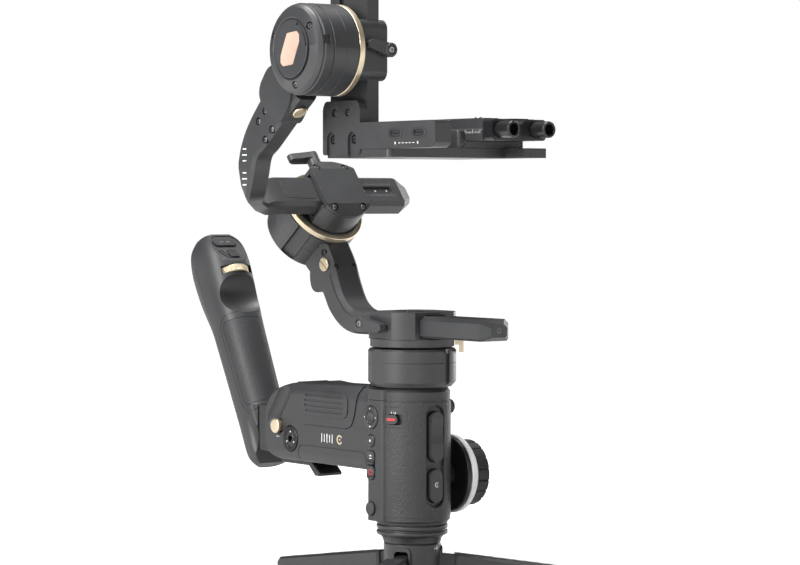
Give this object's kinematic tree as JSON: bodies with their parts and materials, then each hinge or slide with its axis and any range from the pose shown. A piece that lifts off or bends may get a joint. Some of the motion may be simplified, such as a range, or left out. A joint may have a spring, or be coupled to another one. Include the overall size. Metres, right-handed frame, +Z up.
{
  "type": "gimbal stabilizer",
  "caption": "Handheld three-axis camera gimbal with inclined roll motor, sliding balance arms, battery arm with sling grip, focus wheel and fold-out mini tripod.",
  "frame": {"origin": "centre of the tripod hub's flat underside, on the pan axis; the spread feet stand 20 mm lower", "axes": "+Z up along the pan axis, -Y the lens direction, +Y towards the battery arm and sling grip, -X the tilt motor's side"},
  "size_m": [0.294, 0.4129, 0.47],
  "materials": {
    "dark_metal": "fine satin anodised coating",
    "dark_plastic": "fine textured moulding",
    "black_plastic": "semi-gloss",
    "leatherette": "fine grained",
    "rubber": "matte",
    "champagne": "anodised, satin",
    "red_mark": "semi-gloss",
    "white_scale": "satin",
    "cell_wrap": "shrink wrap"
  },
  "bodies": {
    "handle": {"handle_body": "dark_plastic", "grip_panel": "leatherette", "battery_arm_housing": "dark_plastic", "battery_pack": "cell_wrap", "accessory_port": "black_plastic", "pan_motor_housing": "dark_metal", "tripod_hub": "dark_metal", "focus_wheel_base": "black_plastic", "sling_mount": "black_plastic"},
    "collar": {"tripod_collar": "dark_metal"},
    "leg_1": {"tripod_leg_1": "dark_metal", "tripod_foot_1": "rubber"},
    "leg_2": {"tripod_leg_2": "dark_metal", "tripod_foot_2": "rubber"},
    "leg_3": {"tripod_leg_3": "dark_metal", "tripod_foot_3": "rubber"},
    "trigger": {"trigger": "dark_plastic"},
    "function_button": {"function_button": "dark_plastic"},
    "power_switch": {"power_switch": "red_mark"},
    "nav_button": {"nav_button": "dark_plastic"},
    "photo_button": {"photo_button": "dark_plastic"},
    "rocker_button": {"rocker_button": "dark_plastic"},
    "record_button": {"record_button": "dark_plastic"},
    "mode_button": {"mode_button": "dark_plastic"},
    "jog_knob": {"jog_knob": "dark_plastic"},
    "focus_wheel": {"focus_wheel_scale": "white_scale", "focus_wheel_grip": "rubber"},
    "battery_cover": {"battery_cover": "dark_plastic"},
    "release_button": {"release_button": "champagne"},
    "latch_lever": {"latch_lever": "black_plastic"},
    "sling_grip": {"sling_grip_body": "dark_plastic", "sling_grip_sleeve": "rubber"},
    "sling_top_button": {"sling_top_button": "dark_plastic"},
    "sling_rocker": {"sling_rocker": "dark_plastic"},
    "sling_dial": {"sling_dial": "champagne"},
    "sling_trigger": {"sling_trigger": "dark_plastic"},
    "pan_rotor": {"pan_clamp": "dark_metal"},
    "pan_clamp_lever": {"pan_clamp_lever": "dark_metal"},
    "pan_lock_tab": {"pan_lock_tab": "champagne"},
    "pan_arm": {"pan_arm": "dark_metal", "roll_motor_housing": "dark_metal"},
    "roll_lock_disc": {"roll_lock_disc": "champagne"},
    "roll_rotor": {"roll_ring": "champagne", "roll_clamp_body": "dark_metal", "roll_clamp_cover": "dark_metal"},
    "roll_clamp_lever": {"roll_clamp_lever": "dark_metal"},
    "roll_arm": {"roll_arm": "dark_metal", "tilt_motor_housing": "dark_metal", "tilt_motor_cap": "dark_metal"},
    "tilt_lock_disc": {"tilt_lock_disc": "champagne"},
    "tilt_rotor": {"tilt_ring": "champagne", "tilt_clamp": "dark_metal"},
    "tilt_clamp_lever": {"tilt_clamp_lever": "dark_metal"},
    "camera_bracket": {"camera_bracket": "dark_metal"},
    "tray": {"slide_base": "dark_metal"},
    "camera_plate": {"quick_release_plate": "dark_metal", "rod_clamp": "black_plastic"},
    "rod_1": {"support_rod_1": "black_plastic"},
    "rod_2": {"support_rod_2": "black_plastic"}
  },
  "joints": [
    {"name": "collar_twist", "type": "hinge", "parent": "handle", "child": "collar", "pos_m": [0, 0, 0.035], "axis": [0, 0, 1], "range_deg": [0, 30]},
    {"name": "leg_1_fold", "type": "hinge", "parent": "handle", "child": "leg_1", "pos_m": [0, 0.017, 0.013], "axis": [-1, 0, 0], "range_deg": [0, 78]},
    {"name": "leg_2_fold", "type": "hinge", "parent": "handle", "child": "leg_2", "pos_m": [-0.01472, -0.0085, 0.013], "axis": [0.5, -0.866, 0], "range_deg": [0, 78]},
    {"name": "leg_3_fold", "type": "hinge", "parent": "handle", "child": "leg_3", "pos_m": [0.01472, -0.0085, 0.013], "axis": [0.5, 0.866, 0], "range_deg": [0, 78]},
    {"name": "trigger_pull", "type": "hinge", "parent": "handle", "child": "trigger", "pos_m": [0, -0.023, 0.125], "axis": [1, 0, 0], "range_deg": [0, 4], "stiffness_Nm_per_rad": 0.3},
    {"name": "function_press", "type": "slide", "parent": "handle", "child": "function_button", "axis": [0, 1, 0], "range_m": [0, 0.0015], "stiffness_N_per_m": 250},
    {"name": "power_slide", "type": "slide", "parent": "handle", "child": "power_switch", "axis": [0.4226, -0.9063, 0], "range_m": [0, 0.0042]},
    {"name": "nav_press", "type": "slide", "parent": "handle", "child": "nav_button", "axis": [1, 0, 0], "range_m": [0, 0.001], "stiffness_N_per_m": 250},
    {"name": "photo_press", "type": "slide", "parent": "handle", "child": "photo_button", "axis": [1, 0, 0], "range_m": [0, 0.001], "stiffness_N_per_m": 250},
    {"name": "rocker_press", "type": "slide", "parent": "handle", "child": "rocker_button", "axis": [1, 0, 0], "range_m": [0, 0.001], "stiffness_N_per_m": 250},
    {"name": "record_press", "type": "slide", "parent": "handle", "child": "record_button", "axis": [1, 0, 0], "range_m": [0, 0.001], "stiffness_N_per_m": 250},
    {"name": "mode_press", "type": "slide", "parent": "handle", "child": "mode_button", "axis": [1, 0, 0], "range_m": [0, 0.001], "stiffness_N_per_m": 250},
    {"name": "jog_press", "type": "slide", "parent": "handle", "child": "jog_knob", "axis": [-1, 0, 0], "range_m": [0, 0.0012], "stiffness_N_per_m": 250},
    {"name": "focus_turn", "type": "hinge", "parent": "handle", "child": "focus_wheel", "pos_m": [0.035, 0, 0.077], "axis": [1, 0, 0], "continuous": true},
    {"name": "battery_cover_slide", "type": "slide", "parent": "handle", "child": "battery_cover", "axis": [-1, 0, 0], "range_m": [0, 0.03]},
    {"name": "release_press", "type": "slide", "parent": "handle", "child": "release_button", "axis": [1, 0, 0], "range_m": [0, 0.003], "stiffness_N_per_m": 250},
    {"name": "latch_swing", "type": "hinge", "parent": "handle", "child": "latch_lever", "pos_m": [0, 0.15, 0.0785], "axis": [1, 0, 0], "range_deg": [0, 35]},
    {"name": "sling_release", "type": "slide", "parent": "handle", "child": "sling_grip", "axis": [0, 0, 1], "range_m": [0, 0.03]},
    {"name": "sling_top_press", "type": "slide", "parent": "sling_grip", "child": "sling_top_button", "axis": [0, 0.6428, -0.766], "range_m": [0, 0.0008], "stiffness_N_per_m": 250},
    {"name": "sling_rocker_tilt", "type": "hinge", "parent": "sling_grip", "child": "sling_rocker", "pos_m": [0.001, 0.24051, 0.23922], "axis": [1, 0, 0], "range_deg": [-4, 4], "stiffness_Nm_per_rad": 0.05},
    {"name": "sling_dial_turn", "type": "hinge", "parent": "sling_grip", "child": "sling_dial", "pos_m": [0, 0.24102, 0.2234], "axis": [0, 0.4384, 0.8988], "continuous": true},
    {"name": "sling_trigger_press", "type": "slide", "parent": "sling_grip", "child": "sling_trigger", "axis": [0, -0.8988, 0.4384], "range_m": [0, 0.0025], "stiffness_N_per_m": 250},
    {"name": "pan", "type": "hinge", "parent": "handle", "child": "pan_rotor", "pos_m": [0, 0, 0.178], "axis": [0, 0, 1], "continuous": true},
    {"name": "pan_clamp_open", "type": "hinge", "parent": "pan_rotor", "child": "pan_clamp_lever", "pos_m": [-0.0303, 0.0164, 0.1917], "axis": [-1, 0, 0], "range_deg": [0, 100]},
    {"name": "pan_lock", "type": "slide", "parent": "pan_rotor", "child": "pan_lock_tab", "axis": [0, 0, -1], "range_m": [0, 0.002]},
    {"name": "pan_arm_slide", "type": "slide", "parent": "pan_rotor", "child": "pan_arm", "axis": [0, 1, 0], "range_m": [-0.01, 0.03]},
    {"name": "roll_lock_turn", "type": "hinge", "parent": "pan_arm", "child": "roll_lock_disc", "pos_m": [-0.0138, 0.092, 0.234], "axis": [-1, 0, 0], "range_deg": [0, 90]},
    {"name": "roll", "type": "hinge", "parent": "pan_arm", "child": "roll_rotor", "pos_m": [0, 0.106, 0.282], "axis": [0, -0.788, 0.6157], "range_deg": [-60, 60]},
    {"name": "roll_clamp_open", "type": "hinge", "parent": "roll_rotor", "child": "roll_clamp_lever", "pos_m": [-0.003, 0.1176, 0.3082], "axis": [0, 0.6157, 0.788], "range_deg": [0, 90]},
    {"name": "roll_arm_slide", "type": "slide", "parent": "roll_rotor", "child": "roll_arm", "axis": [1, 0, 0], "range_m": [-0.02, 0.02]},
    {"name": "tilt_lock_turn", "type": "hinge", "parent": "roll_arm", "child": "tilt_lock_disc", "pos_m": [-0.103, 0.0001, 0.3473], "axis": [0, -0.5934, -0.8049], "range_deg": [0, 90]},
    {"name": "tilt", "type": "hinge", "parent": "roll_arm", "child": "tilt_rotor", "pos_m": [-0.085, -0.02, 0.391], "axis": [1, 0, 0], "range_deg": [-45, 90]},
    {"name": "tilt_clamp_open", "type": "hinge", "parent": "tilt_rotor", "child": "tilt_clamp_lever", "pos_m": [-0.06, -0.0463, 0.391], "axis": [0, 1, 0], "range_deg": [0, 90]},
    {"name": "tilt_arm_slide", "type": "slide", "parent": "tilt_rotor", "child": "camera_bracket", "axis": [0, 0, 1], "range_m": [-0.03, 0.012]},
    {"name": "tray_shift", "type": "slide", "parent": "camera_bracket", "child": "tray", "axis": [1, 0, 0], "range_m": [-0.008, 0.008]},
    {"name": "camera_plate_slide", "type": "slide", "parent": "tray", "child": "camera_plate", "axis": [0, 1, 0], "range_m": [-0.01, 0.03]},
    {"name": "rod_1_slide", "type": "slide", "parent": "camera_plate", "child": "rod_1", "axis": [0, -1, 0], "range_m": [0, 0.04]},
    {"name": "rod_2_slide", "type": "slide", "parent": "camera_plate", "child": "rod_2", "axis": [0, -1, 0], "range_m": [0, 0.04]}
  ]
}
